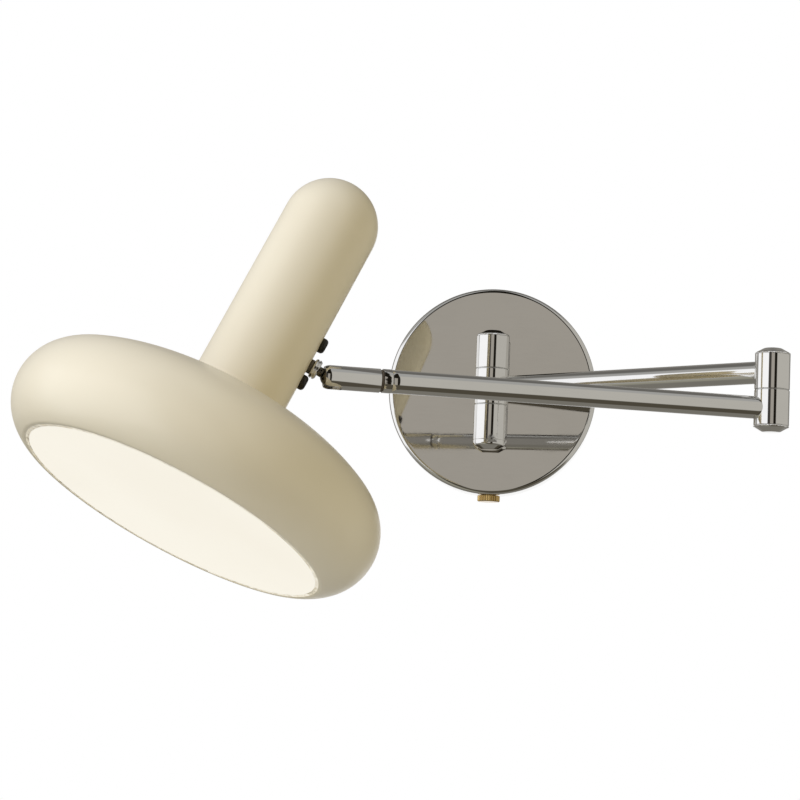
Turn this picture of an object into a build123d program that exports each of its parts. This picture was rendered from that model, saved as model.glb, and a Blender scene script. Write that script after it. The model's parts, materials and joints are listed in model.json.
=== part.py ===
"""Swivel wall lamp: a chrome canopy, two hinged arms, a slotted ball socket and a painted shade.

Millimetres. The origin is the centre of the canopy's back plane, on the wall. +Y runs into
the wall, +X is to the right of a person who faces the lamp, and +Z is up.
"""

import os
from math import asin, cos, degrees, radians, sqrt, tan

from build123d import *

# pose of the joints in the stored lamp, in degrees
rear_turn = -34.4
elbow_turn = -128.3
socket_turn = 11.0
ball_tilt = -26.5
head_turn = -3.5

# fits and small gaps
press_gap = 0.02
running_gap = 0.05
face_gap = 0.05
edge_round = 0.8

# canopy on the wall
canopy_radius = 60.0
canopy_depth = 20.0
canopy_crown = 1.2
canopy_wall = 1.2
canopy_edge = 3.0

# bracket behind the canopy
bracket_gap = 1.2
bracket_width = 22.0
bracket_thickness = 1.5
ear_width = 16.0
ear_height = 14.0
mount_spacing = 70.0
mount_slot_length = 12.0
mount_slot_radius = 2.2
cable_hole_radius = 8.0
corner_gap = 0.6

# thumb screw that holds the canopy to the bracket
thumb_height = 10.0
thumb_shank_radius = 2.0
thumb_shank_length = 8.0
thumb_head_radius = 6.5
thumb_head_height = 3.6
thumb_ridges = 28
thumb_ridge_depth = 0.35

# parts on the bracket
block_length = 26.0
block_width = 16.0
block_height = 12.0
block_gap = 2.0
clamp_radius = 2.3
clamp_bore = 1.5
clamp_pitch = 7.5
earth_offset = 17.0
earth_shank_radius = 2.0
earth_head_radius = 3.6
earth_head_height = 2.2

# barrels and their hollow pivots
barrel_radius = 9.4
barrel_standoff = 13.0
pivot_radius = 5.0
pivot_bore = 3.5
cap_height = 3.0
cap_flat_radius = 4.7
cap_spigot_length = 5.0
washer_thickness = 0.4
washer_inset = 0.3

# wall hinge
swing_rise = 0.5
hinge_half = 10.1
wall_top = 32.7
wall_bottom = 36.1
bottom_cap_skirt = 2.4
post_spread = 21.5
post_radius = 4.5
post_bore = 3.0
post_inside = 6.0
post_collar_radius = 7.0
post_nut_flats = 14.0
post_nut_thickness = 3.0

# arms
tube_radius = 6.0
tube_bore = 5.0
rear_length = 184.6
front_length = 239.0
arm_seat_depth = 2.0
wire_hole_radius = 3.2

# elbow
seam_drop = 9.8
elbow_half = 22.4

# slotted ball socket at the end of the front arm
socket_radius = 6.2
socket_length = 31.8
swivel_groove = 1.0
ball_radius = 5.0
mouth_half_angle = 62.0
slot_half_width = 2.8
slot_back = 6.2
spigot_radius = 4.0
spigot_bore = 2.4
spigot_press_length = 16.0
spigot_end = 11.5
shoulder_back = 15.0
clip_thickness = 1.0
clip_depth = 0.6
seat_back = 9.0
seat_front = 2.2
seat_bore = 2.6

# ball stud and what holds it in the neck
stud_radius = 2.5
stud_bore = 1.4
collar_start = 6.6
collar_end = 10.2
collar_radius = 5.2
collar_chamfer = 0.7
collar_groove = 0.5
bush_radius = 3.8
stud_washer_radius = 5.0
stud_washer_thickness = 0.8
stud_nut_flats = 8.0
stud_nut_thickness = 3.2
stud_tail = 1.0

# head: neck and shade
stem_reach = 37.0
stem_height = 101.7
neck_radius = 25.0
neck_wall = 1.2
dome_height = 173.0
shade_radius = 100.0
shade_wall = 1.2
equator_height = 25.0
crown_slope = 30.0
crown_radius = 90.0
rim_radius = 83.4
diffuser_radius = 82.0
diffuser_gap = 0.3
diffuser_thickness = 2.4
wire_opening = 15.0

# plate inside the neck
plate_thickness = 4.2
plate_below_stem = 16.7
plate_above_stem = 60.3
neck_screw_spread = 11.1
neck_screw_rise = 1.6
neck_screw_radius = 2.0
neck_screw_head_radius = 4.0
neck_screw_head_height = 3.2
neck_screw_round = 1.8
driver_width = 23.0
driver_depth = 24.0
driver_above_stem = 16.3
driver_length = 40.0
driver_round = 2.0

# ring that joins the neck to the shade
ring_flange = 1.6
ring_height = 8.0
ring_wall = 2.2
joint_screws_count = 3
joint_screw_circle = 18.0
joint_screw_radius = 1.5
joint_screw_head_radius = 2.7
joint_screw_head_height = 1.8
joint_screw_length = 12.0

# light engine inside the shade
sink_radius = 65.0
sink_low = 39.0
sink_thickness = 3.0
sink_boss_radius = 21.0
sink_fins = 18
fin_thickness = 1.8
fin_inner = 25.0
fin_outer = 60.0
fin_height = 7.0
board_radius = 60.0
board_thickness = 1.6
board_bore = 2.5
chip_side = 3.0
chip_height = 0.7
chip_ring_radii = (18.0, 36.0, 52.0)
chip_counts = (8, 14, 18)
tray_wall = 1.2
tray_seat_width = 3.0
tray_top_width = 3.5

# frames of the bodies at the stored pose
wall_frame = Rot(X=90)
barrel_distance = canopy_depth + barrel_standoff
wall_axis = Pos(0, -barrel_distance, swing_rise)
rear_frame = wall_axis * Rot(Z=rear_turn)
elbow_frame = rear_frame * Pos(rear_length, 0, 0)
front_frame = elbow_frame * Rot(Z=elbow_turn)
arm_frame = front_frame * Pos(0, 0, -2 * seam_drop)
tip_frame = arm_frame * Pos(front_length, 0, 0)
socket_frame = tip_frame * Rot(X=socket_turn)
ball_frame = socket_frame * Rot(Y=ball_tilt)
head_frame = ball_frame * Rot(X=head_turn)
shade_frame = head_frame * Pos(stem_reach, 0, -stem_height)

# sizes worked out from the ones above
inner_canopy = canopy_radius - canopy_wall
ear_reach = inner_canopy - bracket_gap
seam_half = washer_thickness / 2 + face_gap
arm_seat = barrel_radius - arm_seat_depth
socket_bore = ball_radius + running_gap
neck_bore = neck_radius - neck_wall
plate_face = neck_bore - press_gap - plate_thickness
rim_setback = shade_radius - rim_radius
bead_radius = (rim_setback**2 + equator_height**2) / (2 * rim_setback)
shade_top = (
    equator_height
    + bead_radius * cos(radians(crown_slope))
    + crown_radius * (1 - cos(radians(crown_slope)))
)
ALONG_X = Rot(Y=90)
FROM_BASE = (Align.CENTER, Align.CENTER, Align.MIN)


def rod(radius, low, high):
    """Solid cylinder on the Z axis between two heights."""
    return Pos(0, 0, low) * Cylinder(radius, high - low, align=FROM_BASE)


def pipe(outer, inner, low, high):
    """Hollow cylinder on the Z axis between two heights."""
    return rod(outer, low, high) - rod(inner, low, high)


def turned(outline):
    """Revolve an outline of radius and height about the Z axis."""
    return revolve(Plane.XZ * outline, Axis.Z)


def hexagon(across_flats, low, high):
    """Hexagonal prism on the Z axis between two heights."""
    outline = RegularPolygon(across_flats / 2, 6, major_radius=False)
    return Pos(0, 0, low) * extrude(outline, amount=high - low)


def cup_outline(radius, depth, edge):
    """Half section of a shallow cup with a crowned face and a rounded edge."""
    sphere = (radius**2 + canopy_crown**2) / (2 * canopy_crown)
    middle = radius / 2
    rise = canopy_crown - sphere + sqrt(sphere**2 - middle**2)
    section = make_face(
        [
            Line((0, 0), (radius, 0)),
            Line((radius, 0), (radius, depth)),
            ThreePointArc((radius, depth), (middle, depth + rise), (0, depth + canopy_crown)),
            Line((0, depth + canopy_crown), (0, 0)),
        ]
    )
    corner = section.vertices().group_by(Axis.X)[-1].sort_by(Axis.Y)[-1]
    return fillet(corner, edge)


def canopy_body():
    """The canopy's outer form as a full solid."""
    return turned(cup_outline(canopy_radius, canopy_depth, canopy_edge))


def canopy_hollow():
    """The space inside the canopy."""
    return turned(cup_outline(inner_canopy, canopy_depth - canopy_wall, canopy_edge - canopy_wall))


def post_places():
    """Places of the two posts on the canopy's face."""
    return [Pos(0, swing_rise + side * post_spread, 0) for side in (1, -1)]


def canopy():
    """Spun cup that covers the bracket, with two post holes and the thumb screw's hole."""
    shell = canopy_body() - canopy_hollow()
    for place in post_places():
        shell -= place * rod(post_radius + press_gap, post_inside, barrel_distance)
    hole = rod(thumb_shank_radius + running_gap, ear_reach, canopy_radius + canopy_wall)
    return wall_frame * (shell - Pos(0, 0, thumb_height) * Rot(X=90) * hole)


def wall_bracket():
    """Steel strap with two folded ears, mounting slots and a cable hole."""
    blank = Pos(0, 0, bracket_thickness / 2) * Box(bracket_width, 2 * ear_reach, bracket_thickness)
    strap = blank & rod(inner_canopy - corner_gap, 0, bracket_thickness)
    for side in (-1, 1):
        place = Pos(0, side * (ear_reach - bracket_thickness / 2), ear_height / 2)
        strap += place * Box(ear_width, bracket_thickness, ear_height)
        slot = Rot(Z=90) * SlotOverall(mount_slot_length, 2 * mount_slot_radius)
        strap -= Pos(0, side * mount_spacing / 2, 0) * extrude(slot, amount=bracket_thickness)
    strap -= rod(cable_hole_radius, 0, bracket_thickness)
    strap -= Pos(0, -earth_offset, 0) * rod(earth_shank_radius + press_gap, 0, bracket_thickness)
    thread = rod(thumb_shank_radius + press_gap, ear_reach - 2 * bracket_thickness, ear_reach)
    return wall_frame * (strap - Pos(0, 0, thumb_height) * Rot(X=90) * thread)


def canopy_screw():
    """Brass thumb screw through the canopy's side into the bracket's ear."""
    shank = rod(thumb_shank_radius, canopy_radius - thumb_shank_length, canopy_radius)
    head = rod(thumb_head_radius, canopy_radius, canopy_radius + thumb_head_height)
    head = chamfer(head.edges().group_by(Axis.Z)[-1], edge_round)
    ridge = rod(thumb_ridge_depth, canopy_radius, canopy_radius + thumb_head_height)
    head -= PolarLocations(thumb_head_radius, thumb_ridges) * ridge
    return wall_frame * Pos(0, 0, thumb_height) * Rot(X=90) * (shank + head)


def block_middle():
    """Distance from the bracket's centre to the terminal block's centre."""
    return cable_hole_radius + block_gap + block_width / 2


def terminal_block():
    """Three-pole terminal block seated on the bracket."""
    height = bracket_thickness + block_height / 2
    block = Pos(0, block_middle(), height) * Box(block_length, block_width, block_height)
    for place in clamp_places():
        block -= place * rod(clamp_radius + press_gap, -block_width, block_width)
    return wall_frame * block


def clamp_places():
    """Places of the three clamps, whose axes run through the block's width."""
    height = bracket_thickness + block_height / 2
    return [Pos(step * clamp_pitch, block_middle(), height) * Rot(X=90) for step in (-1, 0, 1)]


def terminal_clamps():
    """Brass sleeves inside the terminal block."""
    sleeve = pipe(clamp_radius, clamp_bore, -block_width / 2, block_width / 2)
    return Compound(children=[wall_frame * place * sleeve for place in clamp_places()])


def earth_screw():
    """Pan-head screw for the earth wire."""
    top = bracket_thickness + earth_head_height
    head = rod(earth_head_radius, bracket_thickness, top)
    head = fillet(head.edges().group_by(Axis.Z)[-1], edge_round)
    return wall_frame * Pos(0, -earth_offset, 0) * (head + rod(earth_shank_radius, 0, bracket_thickness))


def barrel_space(gap=0.0):
    """The wall barrels' outer form in the wall frame, for coping what meets it."""
    lying = Rot(X=-90) * rod(barrel_radius + gap, -canopy_radius, canopy_radius)
    return Pos(0, 0, barrel_distance) * lying


def wall_posts():
    """Hollow threaded posts that carry the two fixed barrels on the canopy."""
    end = barrel_distance - pivot_radius - press_gap
    post = pipe(post_radius, post_bore, canopy_depth - post_inside, end)
    pivot = Pos(0, 0, barrel_distance) * Rot(X=-90) * rod(
        pivot_radius + press_gap, -canopy_radius, canopy_radius
    )
    return Compound(children=[wall_frame * (place * post - pivot) for place in post_places()])


def post_collars():
    """Spacer rings between the canopy's face and the fixed barrels."""
    inner = post_radius + press_gap
    ring = pipe(post_collar_radius, inner, canopy_depth - canopy_wall, barrel_distance)
    return Compound(
        children=[
            wall_frame * (place * ring - canopy_body() - barrel_space(press_gap) - beyond_axis())
            for place in post_places()
        ]
    )


def beyond_axis():
    """Everything farther from the wall than the barrels' axis."""
    side = 4 * barrel_radius
    return Pos(0, 0, barrel_distance) * Box(side, 2 * canopy_radius, side, align=FROM_BASE)


def post_nuts():
    """Hexagonal nuts that clamp the posts from inside the canopy."""
    low = canopy_depth - canopy_wall - post_nut_thickness
    nut = hexagon(post_nut_flats, low, canopy_depth + canopy_crown)
    nut -= rod(post_radius + press_gap, 0, barrel_distance)
    return Compound(children=[wall_frame * (place * nut & canopy_hollow()) for place in post_places()])


def arm_pocket():
    """Cutter for the round seat that an arm's coped end enters, along local X."""
    reach = 2 * barrel_radius
    seat = ALONG_X * rod(tube_radius + press_gap, 0, reach)
    return seat - rod(arm_seat - press_gap, -reach, reach)


def wire_hole():
    """Cutter for the hole from a barrel's bore into its arm, along local X."""
    return ALONG_X * rod(wire_hole_radius, 0, 2 * barrel_radius)


def cap(skirt=0.0):
    """Turned end cap above z = 0: a skirt, a wide bevel, a flat top and a spigot below."""
    top = skirt + cap_height
    section = make_face(
        Polyline(
            (0, 0),
            (barrel_radius, 0),
            (barrel_radius, skirt + edge_round / 2),
            (cap_flat_radius, top),
            (0, top),
            close=True,
        )
    )
    flat_corner = section.vertices().group_by(Axis.Y)[-1].sort_by(Axis.X)[-1]
    section = fillet(flat_corner, edge_round)
    return turned(section) + rod(pivot_bore - press_gap, -cap_spigot_length, 0)


def seam_washer(height):
    """Thin friction washer centred on a seam's height."""
    half = washer_thickness / 2
    return pipe(barrel_radius - washer_inset, pivot_radius + running_gap, height - half, height + half)


# the wall hinge's seams and ends, measured from the arms' plane
upper_seam = hinge_half + seam_half
lower_seam = -hinge_half - seam_half
wall_cap_low = wall_top - cap_height
wall_cap_high = -wall_bottom + cap_height + bottom_cap_skirt


def fixed_barrel(low, high, post_height):
    """A barrel fixed on the wall pivot, with its post's hole on the wall side."""
    body = pipe(barrel_radius, pivot_radius + press_gap, low, high)
    hole = Pos(0, 0, post_height) * Rot(X=-90) * rod(post_radius + press_gap, 0, 2 * barrel_radius)
    return wall_axis * (body - hole)


def wall_barrel_upper():
    """Fixed barrel above the arm's barrel."""
    return fixed_barrel(upper_seam + seam_half, wall_cap_low, post_spread)


def wall_barrel_lower():
    """Fixed barrel below the arm's barrel."""
    return fixed_barrel(wall_cap_high, lower_seam - seam_half, -post_spread)


def wall_pivot():
    """Hollow pivot through the three barrels, with windows for the wires."""
    body = pipe(pivot_radius, pivot_bore, wall_cap_high, wall_cap_low)
    for side in (-1, 1):
        body -= Pos(0, 0, side * post_spread) * Rot(X=-90) * rod(post_bore, 0, barrel_radius)
    window = Box(2 * barrel_radius, pivot_radius, 2 * wire_hole_radius)
    return wall_axis * (body - Pos(0, -pivot_radius / 2 - wire_hole_radius / 2, 0) * window)


def wall_top_cap():
    """Cap of the upper wall barrel."""
    return wall_axis * Pos(0, 0, wall_cap_low) * cap()


def wall_bottom_cap():
    """Deeper cap under the lower wall barrel."""
    return wall_axis * Pos(0, 0, wall_cap_high) * Rot(X=180) * cap(bottom_cap_skirt)


def wall_washers():
    """Friction washers in the wall hinge's two seams."""
    return Compound(children=[wall_axis * seam_washer(height) for height in (upper_seam, lower_seam)])


def rear_hinge_barrel():
    """Middle barrel of the wall hinge, which turns with the rear arm."""
    body = pipe(barrel_radius, pivot_radius + running_gap, -hinge_half, hinge_half)
    return rear_frame * (body - arm_pocket() - wire_hole())


def rear_arm_tube():
    """Rear arm, coped at both ends to sit in its barrels."""
    tube = ALONG_X * pipe(tube_radius, tube_bore, 0, rear_length)
    reach = 2 * barrel_radius
    ends = rod(arm_seat, -reach, reach) + Pos(rear_length, 0, 0) * rod(arm_seat, -reach, reach)
    return rear_frame * (tube - ends)


# the elbow's seams and ends, measured from the rear arm's axis
elbow_seam = -seam_drop
elbow_cap_low = elbow_seam + elbow_half - cap_height
elbow_cap_high = elbow_seam - elbow_half + cap_height
elbow_end_seam = elbow_cap_high + seam_half


def elbow_barrel_upper():
    """Elbow barrel fixed on the rear arm."""
    body = pipe(barrel_radius, pivot_radius + press_gap, elbow_seam + seam_half, elbow_cap_low)
    return elbow_frame * (body - Rot(Z=180) * (arm_pocket() + wire_hole()))


def elbow_pivot():
    """Hollow pivot of the elbow, with windows at both arms."""
    body = pipe(pivot_radius, pivot_bore, elbow_cap_high, elbow_cap_low)
    body -= Rot(Z=180) * ALONG_X * rod(wire_hole_radius, 0, barrel_radius)
    front_window = ALONG_X * rod(wire_hole_radius, -barrel_radius, barrel_radius)
    return elbow_frame * (body - Pos(0, 0, 2 * elbow_seam) * front_window)


def elbow_top_cap():
    """Cap of the upper elbow barrel."""
    return elbow_frame * Pos(0, 0, elbow_cap_low) * cap()


def elbow_bottom_cap():
    """Cap on the pivot's lower end, which keeps the lower barrel on."""
    return elbow_frame * Pos(0, 0, elbow_cap_high) * Rot(X=180) * cap()


def elbow_washers():
    """Friction washers above and below the lower elbow barrel."""
    return Compound(children=[elbow_frame * seam_washer(height) for height in (elbow_seam, elbow_end_seam)])


def elbow_barrel_lower():
    """Elbow barrel that turns with the front arm."""
    low = elbow_end_seam + seam_half
    body = pipe(barrel_radius, pivot_radius + running_gap, low, elbow_seam - seam_half)
    seat = Pos(0, 0, 2 * elbow_seam) * (arm_pocket() + wire_hole())
    return front_frame * (body - seat)


# the front arm's end, measured from the ball's centre
socket_back = -socket_length
tube_end = front_length - socket_length - swivel_groove


def front_arm_tube():
    """Front arm, coped at the elbow and cut square at the swivel."""
    tube = ALONG_X * pipe(tube_radius, tube_bore, 0, tube_end)
    return arm_frame * (tube - rod(arm_seat, -2 * barrel_radius, 2 * barrel_radius))


def arm_spigot():
    """Turned spigot pressed into the arm, on which the ball socket swivels."""
    start = socket_back - swivel_groove
    body = rod(tube_bore - press_gap, start - spigot_press_length, socket_back - face_gap)
    body += rod(spigot_radius, start, -spigot_end)
    clip_low = -shoulder_back + face_gap
    body -= pipe(2 * spigot_radius, spigot_radius - clip_depth, clip_low, clip_low + clip_thickness)
    body -= rod(spigot_bore, start - spigot_press_length, 0)
    return tip_frame * ALONG_X * body


def spigot_clip():
    """Open ring that keeps the socket on the spigot."""
    low = -shoulder_back + face_gap
    outer = socket_bore - 4 * running_gap
    ring = pipe(outer, spigot_radius - clip_depth + press_gap, low, low + clip_thickness)
    gap = Pos(0, outer / 2, low) * Box(spigot_radius / 2, outer, clip_thickness, align=FROM_BASE)
    return tip_frame * ALONG_X * (ring - gap)


def ball_socket():
    """Slotted socket: a tube with a domed end, a conical mouth and a side slot."""
    body = ALONG_X * rod(socket_radius, socket_back, 0) + Sphere(socket_radius)
    cavity = Sphere(socket_bore) + ALONG_X * rod(socket_bore, -shoulder_back, 0)
    cavity += ALONG_X * rod(spigot_radius + running_gap, socket_back, 0)
    height = 2 * socket_radius
    mouth = ALONG_X * Cone(0, height * tan(radians(mouth_half_angle)), height, align=FROM_BASE)
    slot_centre = slot_half_width - slot_back
    slot = Pos(slot_centre, 0, 0) * rod(slot_half_width, -height, 0)
    slot_box = Box(height, 2 * slot_half_width, height, align=(Align.MIN, Align.CENTER, Align.MAX))
    return socket_frame * (body - cavity - mouth - slot - Pos(slot_centre, 0, 0) * slot_box)


def ball_seat():
    """Cupped seat that presses on the back of the ball."""
    body = pipe(socket_bore - running_gap, seat_bore, -seat_back, -seat_front)
    return socket_frame * ALONG_X * (body - Sphere(ball_radius + running_gap))


def seat_spring():
    """Spring washer between the spigot's end and the ball seat."""
    outer = spigot_radius + running_gap
    return socket_frame * ALONG_X * pipe(outer, seat_bore, face_gap - spigot_end, -seat_back)


# the stud's stations along its own axis, from the ball's centre
neck_face = stem_reach - neck_radius
plate_station = stem_reach - plate_face
washer_end = plate_station + stud_washer_thickness
nut_end = washer_end + stud_nut_thickness
stud_end = nut_end + stud_tail


def ball_stud():
    """Ball with a hollow threaded stem that passes through the neck's wall."""
    stem = ALONG_X * rod(stud_radius, 0, stud_end)
    bore = ALONG_X * rod(stud_bore, -ball_radius, stud_end)
    return ball_frame * (Sphere(ball_radius) + stem - bore)


def stud_collar():
    """Chrome collar on the stem, with bevelled edges and a turned groove."""
    ring = rod(collar_radius, collar_start, collar_end)
    ring = chamfer(ring.edges(), collar_chamfer)
    middle = (collar_start + collar_end) / 2
    groove_half = collar_groove / 2
    inner = collar_radius - collar_groove
    ring -= pipe(2 * collar_radius, inner, middle - groove_half, middle + groove_half)
    ring -= rod(stud_radius + press_gap, collar_start, collar_end)
    return ball_frame * ALONG_X * ring


def stud_washer():
    """Washer under the stud's nut."""
    ring = pipe(stud_washer_radius, stud_radius + press_gap, plate_station + face_gap, washer_end)
    return ball_frame * ALONG_X * ring


def stud_nut():
    """Nut that holds the stud in the neck."""
    nut = hexagon(stud_nut_flats, washer_end, nut_end) - rod(stud_radius + press_gap, washer_end, nut_end)
    return ball_frame * ALONG_X * nut


def neck_form(radius, low):
    """Neck with a half-round top, as a full solid."""
    return rod(radius, low, dome_height) + Pos(0, 0, dome_height) * Sphere(radius)


def stud_bush():
    """Dark bush between the collar and the neck, coped to the neck."""
    ring = pipe(bush_radius, stud_radius + running_gap, collar_end + face_gap, stem_reach)
    place = Pos(-stem_reach, 0, stem_height) * ALONG_X
    return shade_frame * (place * ring - neck_form(neck_radius, shade_top))


def screw_places():
    """Places of the two neck screws, whose axes point away from the neck."""
    middle = stem_height + neck_screw_rise
    return [Pos(0, 0, middle + side * neck_screw_spread) * Rot(Y=-90) for side in (-1, 1)]


def neck_shell():
    """Drawn neck tube with a domed top, a stem hole and two screw holes."""
    shell = neck_form(neck_radius, shade_top) - neck_form(neck_bore, shade_top)
    stem_hole = rod(stud_radius + 4 * running_gap, neck_bore / 2, 2 * neck_radius)
    shell -= Pos(0, 0, stem_height) * Rot(Y=-90) * stem_hole
    screw_hole = rod(neck_screw_radius + press_gap, neck_bore / 2, 2 * neck_radius)
    for place in screw_places():
        shell -= place * screw_hole
    return shade_frame * shell


def knuckle_plate():
    """Plate inside the neck that takes the stud, the two screws and the driver."""
    low = stem_height - plate_below_stem
    high = stem_height + plate_above_stem
    form = rod(neck_bore - press_gap, low, high)
    cut_depth = plate_face + neck_bore
    form -= Pos(cut_depth / 2 - plate_face, 0, 0) * Box(cut_depth, 2 * neck_radius, 4 * high)
    stem_hole = rod(stud_radius + running_gap, 0, neck_radius)
    form -= Pos(0, 0, stem_height) * Rot(Y=-90) * stem_hole
    for place in screw_places():
        form -= place * rod(neck_screw_radius + press_gap, 0, neck_radius)
    return shade_frame * form


def neck_screws():
    """Two pan-head screws on the neck, one on each side of the stem."""
    head = rod(neck_screw_head_radius, 0, neck_radius + neck_screw_head_height)
    head = fillet(head.edges().group_by(Axis.Z)[-1], neck_screw_round)
    shank = rod(neck_screw_radius, plate_face, neck_radius)
    screws = [place * head - neck_form(neck_radius, shade_top) + place * shank for place in screw_places()]
    return Compound(children=[shade_frame * screw for screw in screws])


def driver_case():
    """Driver housing seated on the plate's inner face."""
    middle = stem_height + driver_above_stem + driver_length / 2
    body = Box(driver_depth, driver_width, driver_length)
    body = fillet(body.edges().filter_by(Axis.Z).sort_by(Axis.X)[-2:], driver_round)
    return shade_frame * Pos(driver_depth / 2 - plate_face, 0, middle) * body


def shade_outline(inset):
    """Half section of the shade: a round bead, a crowned top and a flat, set in by inset."""
    equator = (shade_radius - inset, equator_height)
    bead = bead_radius - inset
    under = JernArc(equator, (0, -1), bead, -degrees(asin(equator_height / bead)))
    over = JernArc(equator, (0, 1), bead, 90 - crown_slope)
    crown = JernArc(over @ 1, over % 1, crown_radius - inset, crown_slope)
    top = (crown @ 1).Y
    return make_face(
        [
            under,
            over,
            crown,
            Line(crown @ 1, (0, top)),
            Line((0, top), (0, 0)),
            Line((0, 0), under @ 1),
        ]
    )


def joint_places():
    """Places of the screws that join the neck, the shade and the heat sink."""
    return PolarLocations(joint_screw_circle, joint_screws_count)


def shade_shell():
    """Spun shade with a round bead, a low crown and an opening for the diffuser."""
    shell = turned(shade_outline(0)) - turned(shade_outline(shade_wall))
    shell -= rod(diffuser_radius + diffuser_gap, -1, equator_height / 2)
    shell -= rod(wire_opening, equator_height, shade_top)
    for place in joint_places():
        shell -= place * rod(joint_screw_radius + press_gap, equator_height, shade_top)
    return shade_frame * shell


def joint_ring():
    """Flanged ring inside the neck's foot, clamped onto the shade."""
    outer = neck_bore - press_gap
    ring = pipe(outer, wire_opening, shade_top, shade_top + ring_flange)
    ring += pipe(outer, outer - ring_wall, shade_top, shade_top + ring_height)
    for place in joint_places():
        ring -= place * rod(joint_screw_radius + press_gap, shade_top, shade_top + ring_flange)
    return shade_frame * ring


def joint_screws():
    """Screws through the ring and the shade into the heat sink."""
    seat = shade_top + ring_flange
    head = rod(joint_screw_head_radius, seat, seat + joint_screw_head_height)
    screw = head + rod(joint_screw_radius, seat - joint_screw_length, seat)
    return Compound(children=[shade_frame * place * screw for place in joint_places()])


def heat_sink():
    """Finned plate that carries the LED board, with a boss under the shade's flat."""
    plate_top = sink_low + sink_thickness
    sink = rod(sink_radius, sink_low, plate_top)
    sink += rod(sink_boss_radius, sink_low, shade_top - shade_wall)
    sink -= rod(wire_opening, 0, shade_top)
    fin = Pos(0, 0, plate_top) * Box(fin_outer - fin_inner, fin_thickness, fin_height, align=FROM_BASE)
    sink += PolarLocations((fin_inner + fin_outer) / 2, sink_fins) * fin
    depth = shade_top + ring_flange - joint_screw_length
    for place in joint_places():
        sink -= place * rod(joint_screw_radius + press_gap, depth, shade_top)
    return shade_frame * sink


def led_board():
    """Round board under the heat sink."""
    low = sink_low - board_thickness
    return shade_frame * pipe(board_radius, board_bore, low, sink_low)


def led_chips():
    """Rings of LED chips on the board's lower face."""
    low = sink_low - board_thickness - chip_height
    chip = Pos(0, 0, low) * Box(chip_side, chip_side, chip_height, align=FROM_BASE)
    chips = [
        shade_frame * place * chip
        for radius, count in zip(chip_ring_radii, chip_counts)
        for place in PolarLocations(radius, count)
    ]
    return Compound(children=chips)


def reflector_tray():
    """White cone from the heat sink down to the diffuser, with a flange at each end."""
    seat_low = diffuser_thickness + face_gap
    foot = diffuser_radius - tray_seat_width
    top_outer = board_radius + press_gap + tray_top_width
    top_inner = board_radius + face_gap
    section = make_face(
        Polyline(
            (foot, seat_low),
            (diffuser_radius, seat_low),
            (diffuser_radius, seat_low + tray_wall),
            (foot + tray_wall, seat_low + tray_wall),
            (top_outer, sink_low),
            (top_inner, sink_low),
            (top_inner, sink_low - tray_wall),
            close=True,
        )
    )
    return shade_frame * turned(section)


def diffuser():
    """Opal disc that closes the shade, flush with its rim."""
    disc = rod(diffuser_radius, 0, diffuser_thickness)
    return shade_frame * fillet(disc.edges().group_by(Axis.Z)[0], edge_round / 2)


PIECES = (
    wall_bracket,
    earth_screw,
    terminal_block,
    terminal_clamps,
    canopy,
    canopy_screw,
    wall_posts,
    post_collars,
    post_nuts,
    wall_barrel_upper,
    wall_barrel_lower,
    wall_pivot,
    wall_top_cap,
    wall_bottom_cap,
    wall_washers,
    rear_hinge_barrel,
    rear_arm_tube,
    elbow_barrel_upper,
    elbow_pivot,
    elbow_top_cap,
    elbow_bottom_cap,
    elbow_washers,
    elbow_barrel_lower,
    front_arm_tube,
    arm_spigot,
    spigot_clip,
    ball_socket,
    ball_seat,
    seat_spring,
    ball_stud,
    stud_collar,
    stud_washer,
    stud_nut,
    stud_bush,
    neck_shell,
    knuckle_plate,
    neck_screws,
    driver_case,
    shade_shell,
    joint_ring,
    joint_screws,
    heat_sink,
    led_board,
    led_chips,
    reflector_tray,
    diffuser,
)

os.makedirs("parts", exist_ok=True)
for piece in PIECES:
    export_step(piece(), f"parts/{piece.__name__}.step")
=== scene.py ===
"""Looks of the swivel wall lamp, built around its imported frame.

Every piece is in metres in the frame's own axes: +Y into the wall, +X to the right of a
person who faces the lamp, +Z up. Sizes of pieces are written in millimetres.
"""

from __future__ import annotations

import json
import logging
from dataclasses import dataclass
from enum import Enum

import bmesh
import bpy
import numpy as np
from mathutils import Matrix

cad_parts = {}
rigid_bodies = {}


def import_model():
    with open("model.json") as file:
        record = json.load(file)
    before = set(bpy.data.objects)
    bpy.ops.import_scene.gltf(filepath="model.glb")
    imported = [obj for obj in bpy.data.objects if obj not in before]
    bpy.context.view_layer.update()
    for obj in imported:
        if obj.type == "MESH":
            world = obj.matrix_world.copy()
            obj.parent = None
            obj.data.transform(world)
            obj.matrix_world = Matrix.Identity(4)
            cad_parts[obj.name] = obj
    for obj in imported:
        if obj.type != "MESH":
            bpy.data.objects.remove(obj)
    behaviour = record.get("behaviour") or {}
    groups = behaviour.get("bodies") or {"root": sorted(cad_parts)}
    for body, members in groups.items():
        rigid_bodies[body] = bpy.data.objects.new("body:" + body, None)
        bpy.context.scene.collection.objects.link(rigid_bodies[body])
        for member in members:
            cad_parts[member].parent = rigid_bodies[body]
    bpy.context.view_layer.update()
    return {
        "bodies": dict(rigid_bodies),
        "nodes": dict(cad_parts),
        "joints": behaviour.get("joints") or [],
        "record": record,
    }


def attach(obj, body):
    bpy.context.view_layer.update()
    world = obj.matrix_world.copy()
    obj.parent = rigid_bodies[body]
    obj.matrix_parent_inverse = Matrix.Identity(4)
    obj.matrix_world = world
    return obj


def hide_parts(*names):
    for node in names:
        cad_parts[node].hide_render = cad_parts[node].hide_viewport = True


log = logging.getLogger("wall_lamp")

MILLIMETRE = 0.001
PHOTO_SIDE = 800
SENSOR_WIDTH = 36.0
RING_ANGLES = np.linspace(0, 2 * np.pi, 96, endpoint=False)
# the most of a straight run that a guard point beside a round may take
GUARD_SHARE = 0.4
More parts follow.
